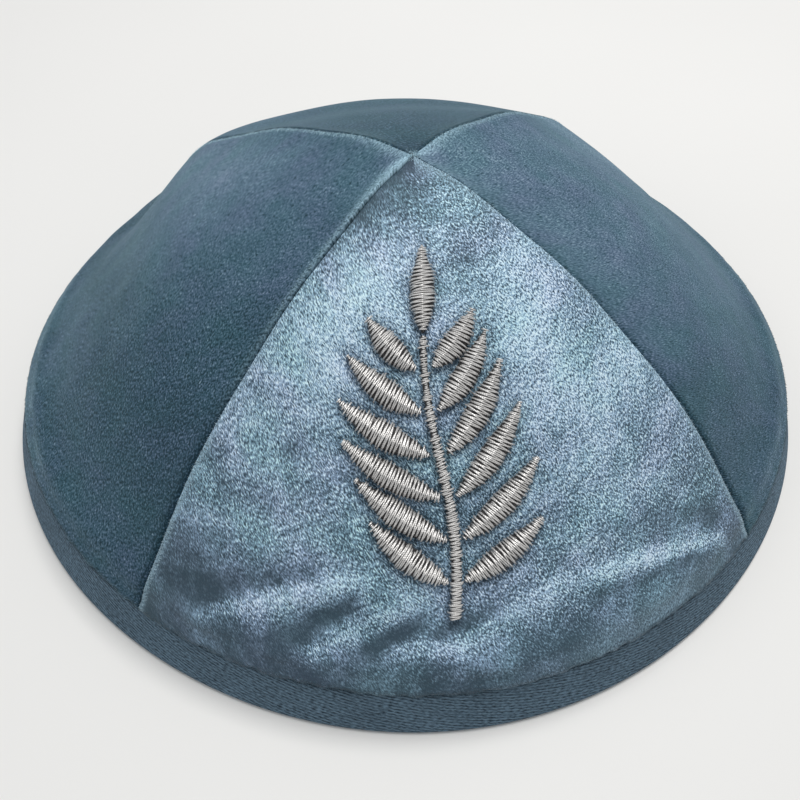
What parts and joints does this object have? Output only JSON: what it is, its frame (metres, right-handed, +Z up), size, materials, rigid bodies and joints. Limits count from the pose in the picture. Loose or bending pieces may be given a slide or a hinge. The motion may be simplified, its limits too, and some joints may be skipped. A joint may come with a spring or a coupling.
{
  "type": "kippah skullcap",
  "caption": "Shallow domed velvet skullcap of sewn gores with a twill-bound rim and a raised satin-stitch leaf sprig on its front gore.",
  "frame": {"origin": "centre of the oval rim, on the surface that the cap rests on", "axes": "+Z up from the rim to the crown, -Y towards the front gore, +X to the right of someone who faces the front gore"},
  "size_m": [0.182, 0.173, 0.0622],
  "materials": {
    "velvet_front": "short-pile velvet with its nap catching the light, pale steel blue",
    "velvet_crown": "short-pile velvet, dusty teal blue",
    "twill_tape": "folded twill binding tape, mid denim blue",
    "silver_thread": "lustrous silver-grey embroidery thread in satin stitch"
  },
  "bodies": {
    "root": {"front_panel": "velvet_front", "right_panel": "velvet_crown", "back_panel": "velvet_crown", "left_panel": "velvet_crown", "rim_tape": "twill_tape", "embroidery_stem": "silver_thread", "embroidery_leaf_left_1": "silver_thread", "embroidery_leaf_left_2": "silver_thread", "embroidery_leaf_left_3": "silver_thread", "embroidery_leaf_left_4": "silver_thread", "embroidery_leaf_left_5": "silver_thread", "embroidery_leaf_left_6": "silver_thread", "embroidery_leaf_right_1": "silver_thread", "embroidery_leaf_right_2": "silver_thread", "embroidery_leaf_right_3": "silver_thread", "embroidery_leaf_right_4": "silver_thread", "embroidery_leaf_right_5": "silver_thread", "embroidery_leaf_right_6": "silver_thread", "embroidery_leaf_top": "silver_thread"}
  },
  "joints": []
}
